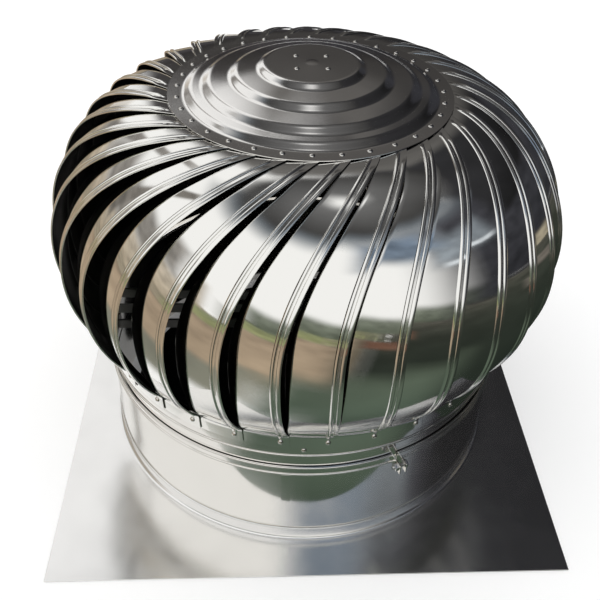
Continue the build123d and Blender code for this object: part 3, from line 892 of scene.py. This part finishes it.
theta = add_node(
    tree,
    "ShaderNodeMath",
    {"operation": "SUBTRACT"},
    links={0: sampled["hem_angle"], 1: turned.outputs[0]},
)
part_way = add_node(
    tree,
    "ShaderNodeMath",
    {"operation": "DIVIDE", "use_clamp": True},
    links={0: across.outputs[0], 1: sampled["width"]},
)
hollowed = add_node(
    tree,
    "ShaderNodeMath",
    {"operation": "POWER"},
    links={0: part_way.outputs[0], 1: given["Hollow"]},
)
sunk = add_node(
    tree,
    "ShaderNodeMath",
    {"operation": "MULTIPLY"},
    links={0: hollowed.outputs[0], 1: sampled["dip"]},
)
lift = add_node(
    tree,
    "ShaderNodeMath",
    {"operation": "SUBTRACT"},
    links={0: flat_place.outputs["Z"], 1: sunk.outputs[0]},
)
raised = add_node(
    tree,
    "ShaderNodeVectorMath",
    {"operation": "SCALE"},
    links={0: sampled["outwards"], "Scale": lift.outputs[0]},
)
on_line = add_node(
    tree,
    "ShaderNodeVectorMath",
    {"operation": "ADD"},
    links={0: sampled["position"], 1: raised.outputs[0]},
)
round_axis = add_node(
    tree,
    "ShaderNodeVectorRotate",
    {"rotation_type": "Z_AXIS"},
    links={"Vector": on_line.outputs[0], "Angle": theta.outputs[0]},
)
one_vane = add_node(
    tree,
    "GeometryNodeSetPosition",
    links={"Geometry": given["Geometry"], "Position": round_axis.outputs[0]},
)
ring_of_copies(
    tree,
    one_vane.outputs[0],
    given["Vane count"],
    given["First angle"],
    None,
    None,
    given["Material"],
)
grow(
    vanes,
    tree,
    {
        "Vane line": vane_line,
        "Edge width": EDGE_WIDTH,
        "Hollow": HOLLOW,
        "Vane count": VANE_COUNT,
        "First angle": REST_ANGLE + FIRST_VANE * PITCH,
        "Material": mirror_vane,
    },
)
bpy.data.objects.remove(vane_line)
vane_nodes = [f"vane_{k + 1:02d}" for k in range(VANE_COUNT)]
finish_piece(vanes, mirror_vane, "rotor", "polished_stainless", *vane_nodes)


# ------------------------------------------------------------------ rivets
tree, given = geometry_tree(
    "ring_of_rivets",
    {
        "Count": "Int",
        "Radius": "Float",
        "Height": "Float",
        "Tilt": "Float",
        "First angle": "Float",
        "Material": "Material",
    },
)
seat = add_node(tree, "ShaderNodeCombineXYZ", links={"X": given["Radius"], "Z": given["Height"]})
ring_of_copies(
    tree,
    given["Geometry"],
    given["Count"],
    given["First angle"],
    given["Tilt"],
    seat.outputs[0],
    given["Material"],
)

# Blind rivet: domed head with the dimple that its broken-off pin leaves
HEAD_RADIUS, HEAD_HEIGHT = 3.5 * MM, 1.9 * MM
HEAD_SINK, HEAD_LIP = 0.4 * MM, 0.15 * MM  # below the sheet's face, and up to where the dome starts
DOME_STEPS, HEAD_SIDES = 5, 16
rivet_profile = [Vector((0, -HEAD_SINK)), Vector((HEAD_RADIUS - 0.3 * MM, -HEAD_SINK))]
rivet_profile += [Vector((HEAD_RADIUS, HEAD_LIP))]
for k in range(1, DOME_STEPS):
    t = k / DOME_STEPS * math.pi / 2
    dome = HEAD_LIP + (HEAD_HEIGHT - HEAD_LIP) * math.sin(t)
    rivet_profile.append(Vector((HEAD_RADIUS * math.cos(t), dome)))
rivet_profile += [Vector((0.95 * MM, HEAD_HEIGHT)), Vector((0.75 * MM, HEAD_HEIGHT - 0.7 * MM))]
rivet_profile += [Vector((0, HEAD_HEIGHT - 0.55 * MM))]
cap_rivet_radius = cap_rim_radius - 12 * MM
hub_rivet_radius = 28 * MM
foot_rivet_z = collar_top + 3 * MM + 0.35 * 16 * MM  # a third of the way up a 16 mm foot
LEVEL, OUTWARD = 0.0, math.pi / 2
RIVET, BRIGHT = "rivet_steel", "bright_fasteners"
between_vanes = REST_ANGLE + PITCH / 2
for name, node, slot, count, radius, height, tilt, first in (
    ("cap_rivet_heads", "cap_rivets", RIVET, 32, cap_rivet_radius, cap_rim_z, LEVEL, REST_ANGLE),
    ("ring_rivet_heads", "ring_rivets", RIVET, 32, foot_radius, ring_rivet_z, OUTWARD, between_vanes),
    ("hub_rivet_heads", "hub_rivets", BRIGHT, 4, hub_rivet_radius, cap_centre_z, LEVEL, TURN / 8),
    ("bracket_rivet_heads", "bracket_rivets", RIVET, 4, ring_radius, foot_rivet_z, OUTWARD, REST_ANGLE),
):
    heads = lathe(name, rivet_profile, HEAD_SIDES)
    sizes = {"Count": count, "Radius": radius, "Height": height, "Tilt": tilt, "First angle": first}
    grow(heads, tree, {**sizes, "Material": rivet_metal})
    finish_piece(heads, rivet_metal, "rotor", slot, node)


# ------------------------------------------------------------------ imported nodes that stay
for material, names in (
    (bar_metal, ("lower_bracket", "upper_bracket", "rotor_bracket", "backing_ring")),
    (turned_metal, ("shaft", "top_circlip")),
    (fastener_metal, ("shaft_nut", "shaft_washer", "shaft_collar")),
    (race_metal, ("top_bearing_inner", "top_bearing_outer")),
    (race_metal, ("lower_bearing_inner", "lower_bearing_outer")),
    (housing_metal, ("top_housing", "lower_housing")),
):
    for name in names:
        node = frame["nodes"][name]
        if not node.material_slots:
            node.data.materials.append(material)
        for material_slot in node.material_slots:
            material_slot.material = material


# ------------------------------------------------------------------ studio
FLOOR_LIFT = 0.14
FLOOR_HALF, FLOOR_Z = 40, -0.001
# Size, sides and height of the black disc that paints the shade inside the throat
MOUTH_RADIUS, MOUTH_SIDES, MOUTH_Z = 0.28, 96, -0.0005
MOTTLE_SCALE, MOTTLE_LAYERS = 1.1, 2.2  # patches about 0.9 m across and 0.4 m high
MOTTLE_LOW, MOTTLE_HIGH = 0.7, 1.3
PANEL_COLUMNS, PANEL_ROWS = 40, 20
PANEL_CENTRE_Z = 0.3


def floor_paint(name, colour, lifted=FLOOR_LIFT):
    """Matt paint; lifted adds a little white where the camera, or metal that it sees, shows it."""
    material, tree, shader = new_material(name)
    shader.inputs["Base Color"].default_value = linear(colour)
    shader.inputs["Roughness"].default_value = 0.9
    if not lifted:
        return material
    path = add_node(tree, "ShaderNodeLightPath").outputs
    seen = add_node(
        tree,
        "ShaderNodeMath",
        {"operation": "MAXIMUM"},
        links={0: path["Is Camera Ray"], 1: path["Is Glossy Ray"]},
    )
    lift = add_node(
        tree,
        "ShaderNodeMath",
        {"operation": "MULTIPLY"},
        {1: lifted},
        {0: seen.outputs[0]},
    )
    tree.links.new(lift.outputs[0], shader.inputs["Emission Strength"])
    shader.inputs["Emission Color"].default_value = linear("#FFFFFF")
    return material


def glow_paint(name, near, far, strength):
    """A glowing panel, one tone running into the other, mottled, with edges that fade out."""
    material, tree, shader = new_material(name)
    tree.nodes.remove(shader)
    rise = add_node(tree, "ShaderNodeAttribute", {"attribute_name": "rise"})
    tone = add_node(
        tree,
        "ShaderNodeMix",
        {"data_type": "RGBA"},
        {6: linear(near), 7: linear(far)},
        {0: rise.outputs["Fac"]},
    )
    place = add_node(tree, "ShaderNodeTexCoord")
    layers = add_node(
        tree,
        "ShaderNodeMapping",
        values={"Scale": (1, 1, MOTTLE_LAYERS)},
        links={"Vector": place.outputs["Object"]},
    )
    cloud = add_node(
        tree,
        "ShaderNodeTexNoise",
        values={"Scale": MOTTLE_SCALE, "Detail": 4.0},
        links={"Vector": layers.outputs["Vector"]},
    )
    mottle = add_node(
        tree,
        "ShaderNodeMapRange",
        values={
            "From Min": 0.3,
            "From Max": 0.7,
            "To Min": MOTTLE_LOW * strength,
            "To Max": MOTTLE_HIGH * strength,
        },
        links={"Value": cloud.outputs["Fac"]},
    )
    glow = add_node(
        tree,
        "ShaderNodeEmission",
        links={"Color": tone.outputs[2], "Strength": mottle.outputs["Result"]},
    )
    clear = add_node(tree, "ShaderNodeBsdfTransparent")
    cover = add_node(tree, "ShaderNodeAttribute", {"attribute_name": "cover"})
    mixed = add_node(
        tree,
        "ShaderNodeMixShader",
        links={0: cover.outputs["Fac"], 1: clear.outputs[0], 2: glow.outputs[0]},
    )
    tree.links.new(mixed.outputs[0], tree.nodes["Material Output"].inputs["Surface"])
    return material


def panel(
    name,
    near,
    azimuth,
    elevation=None,
    flat=None,
    height=None,
    distance=None,
    soft=(0.15, 0.15),
    far=None,
    strength=1.0,
):
    """A studio panel seen only in reflections, bent round the object or lying flat on the floor.

    azimuth and elevation are (from, to) in degrees, azimuth 0 behind the object and 90 to its
    right; flat gives the near and far distance of a floor panel, or with a height of a level one
    overhead; its tone runs from near (or low) to far (or high); soft is the share of its width and
    of its height that fades out at each edge.  Floor panels lie in thin layers, the one that
    reaches furthest lowest, and their rows are closer together near the object.
    """
    on_floor = flat and not height
    points, covers, rises, faces = [], [], [], []
    for j in range(PANEL_ROWS + 1):
        v = (j / PANEL_ROWS) ** (3 if on_floor else 1)
        for i in range(PANEL_COLUMNS + 1):
            u = i / PANEL_COLUMNS
            a = math.radians(azimuth[0] + (azimuth[1] - azimuth[0]) * u)
            if flat:
                r, z = flat[0] + (flat[1] - flat[0]) * v, height or 0.0014 / (1 + flat[1])
            else:
                e = math.radians(elevation[0] + (elevation[1] - elevation[0]) * v)
                r, z = distance * math.cos(e), PANEL_CENTRE_Z + distance * math.sin(e)
            points.append((r * math.sin(a), r * math.cos(a), z))
            edge = fade(min(v, 1 - v), 0, soft[1])
            if soft[0]:
                edge = min(edge, fade(min(u, 1 - u), 0, soft[0]))
            covers.append(edge)
            rises.append(v)
    for j in range(PANEL_ROWS):
        for i in range(PANEL_COLUMNS):
            k = j * (PANEL_COLUMNS + 1) + i
            faces.append((k, k + 1, k + PANEL_COLUMNS + 2, k + PANEL_COLUMNS + 1))
    obj = piece(name, points, faces)
    mark_points(obj, "cover", "FLOAT", covers)
    mark_points(obj, "rise", "FLOAT", rises)
    obj.data.materials.append(glow_paint(name + "_paint", near, far or near, strength))
    obj.visible_camera = obj.visible_diffuse = obj.visible_shadow = False
    obj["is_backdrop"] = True


square = ((-1, -1), (1, -1), (1, 1), (-1, 1))
floor_corners = [(FLOOR_HALF * x, FLOOR_HALF * y, FLOOR_Z) for x, y in square]
floor = piece("studio_floor", floor_corners, [(0, 1, 2, 3)])
floor.data.materials.append(floor_paint("white_floor_paint", "#FCFCFC"))
floor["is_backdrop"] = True
# A black disc on the floor inside the throat: painted shade, so the floor seen through the throat stays
# dark
duct_angles = [TURN * k / MOUTH_SIDES for k in range(MOUTH_SIDES)]
duct_points = [
    (MOUTH_RADIUS * math.sin(a), MOUTH_RADIUS * math.cos(a), MOUTH_Z) for a in duct_angles
]
duct_mouth = piece("studio_duct_mouth", duct_points, [tuple(reversed(range(MOUTH_SIDES)))])
duct_mouth.data.materials.append(floor_paint("black_duct_paint", "#0C0C0C", lifted=0))
duct_mouth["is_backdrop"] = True

# What the polished sheet mirrors: dark walls behind and to the right, a dark ceiling overhead,
# trees in front, paler walls to the left, and open ground; the white world shows between them
panel(
    "wall_right", "#2C2D31", (-22, 172),
    elevation=(-8, 68), distance=5.6, soft=(0.23, 0.09), far="#45454B",
)
panel("doorway_right", "#161514", (20, 74), elevation=(24, 64), distance=5.4, soft=(0.2, 0.2))
panel("wall_back", "#4C494A", (-20, 34), elevation=(-8, 31), distance=6.4, soft=(0.12, 0.14))
panel(
    "card_back", "#201E1F", (-24, 36),
    elevation=(12, 64), distance=1.45, soft=(0.2, 0.14), far="#706E6C",
)
panel("ceiling", "#747475", (0, 360), flat=(0, 0.66), height=1.5, soft=(0, 0.25), far="#2A2928")
panel(
    "ceiling_front", "#545456", (95, 318),
    flat=(0, 0.95), height=1.55, soft=(0.1, 0.35), far="#7E868E",
)
panel(
    "ceiling_right", "#38383B", (6, 112),
    flat=(0.35, 2.4), height=1.62, soft=(0.14, 0.2), far="#161616",
)
panel(
    "trees_front", "#4A5242", (112, 250),
    elevation=(-8, 11), distance=7.4, soft=(0.15, 0.3), far="#868C80",
)
panel(
    "wall_left", "#A89A84", (248, 342),
    elevation=(-8, 15), distance=6.6, soft=(0.1, 0.25), far="#C4BAAC",
)
panel(
    "wall_left_upper", "#86827C", (256, 334),
    elevation=(8, 31), distance=6.5, soft=(0.16, 0.3), far="#96928E",
)
panel("post_left", "#77736E", (298, 307), elevation=(0, 56), distance=6.2, soft=(0.3, 0.15))
panel("post_back_left", "#8B8783", (326, 333), elevation=(0, 48), distance=6.1, soft=(0.3, 0.15))
panel(
    "strip_window", "#E4EBF2", (110, 151),
    elevation=(31, 34), distance=5.2, soft=(0.25, 0.35), strength=1.1,
)
panel(
    "blue_window", "#6F7B89", (128, 200),
    elevation=(40, 68), distance=5.0, soft=(0.35, 0.3), far="#75859A",
)
panel("window_right", "#8C949C", (108, 160), elevation=(28, 54), distance=5.3, soft=(0.3, 0.35))
panel("ground_base", "#9A907E", (180, 360), flat=(0.5, 12), soft=(0.04, 0.02))
panel("ground_grass", "#93966C", (176, 268), flat=(2.6, 9), soft=(0.12, 0.1), far="#7C8468")
panel("ground_road", "#B29F88", (186, 352), flat=(0.62, 2.9), soft=(0.08, 0.08), far="#A08E7A")
panel("ground_brick", "#735547", (166, 192), flat=(1.6, 2.8), soft=(0.3, 0.25))
panel("ground_right", "#232B25", (4, 204), flat=(0.22, 9), soft=(0.12, 0.012), far="#6A675F")
panel("ground_right_patch", "#77716A", (84, 116), flat=(1.6, 2.6), soft=(0.3, 0.3))
panel("wall_right_pale", "#A59C88", (82, 102), elevation=(-9, 4), distance=5.5, soft=(0.3, 0.2))
panel("ground_near", "#46554A", (130, 228), flat=(0.2, 0.88), soft=(0.3, 0.4), far="#5C6658")
panel("ground_near_left", "#87877A", (200, 330), flat=(0.42, 0.84), soft=(0.2, 0.25))

world = bpy.data.worlds.new("white_studio")
bpy.context.scene.world = world
world.use_nodes = True
world.node_tree.nodes["Background"].inputs["Color"].default_value = (1, 1, 1, 1)
world.node_tree.nodes["Background"].inputs["Strength"].default_value = 1.0

soft_lamp = bpy.data.lights.new("soft_lamp", "AREA")
soft_lamp.shape = "DISK"
soft_lamp.size = 2.5
soft_lamp.energy = 8
soft_lamp_place = bpy.data.objects.new("soft_lamp", soft_lamp)
soft_lamp_place.visible_glossy = False
lamp_aim = Vector((1.6, 1.2, -3.0)).to_track_quat("-Z", "Y").to_matrix().to_4x4()
soft_lamp_place.matrix_world = Matrix.Translation((-1.6, -1.2, 3.2)) @ lamp_aim
bpy.context.scene.collection.objects.link(soft_lamp_place)

# ------------------------------------------------------------------ camera
AZIMUTH, ELEVATION, ROLL_ANGLE = (math.radians(v) for v in (-3.56, 37.05, 1.98))
AIM, DISTANCE = Vector((0, 0, 0.2771)), 1.2249
level_back = math.cos(ELEVATION)
back = Vector(
    (math.sin(AZIMUTH) * level_back, -math.cos(AZIMUTH) * level_back, math.sin(ELEVATION))
)
level_right = (-back).cross(Vector((0, 0, 1))).normalized()
level_up = level_right.cross(-back)
right = math.cos(ROLL_ANGLE) * level_right + math.sin(ROLL_ANGLE) * level_up
up = -math.sin(ROLL_ANGLE) * level_right + math.cos(ROLL_ANGLE) * level_up
camera_data = bpy.data.cameras.new("camera")
camera_data.sensor_width = 36.0
camera_data.lens = 48.39
camera_data.shift_x, camera_data.shift_y = -0.0086, -0.0726
camera = bpy.data.objects.new("camera", camera_data)
camera_turn = Matrix((right, up, back)).transposed().to_4x4()
camera.matrix_world = Matrix.Translation(AIM + DISTANCE * back) @ camera_turn
bpy.context.scene.collection.objects.link(camera)
bpy.context.scene.camera = camera

bpy.context.scene.view_settings.view_transform = "Standard"

low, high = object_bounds()
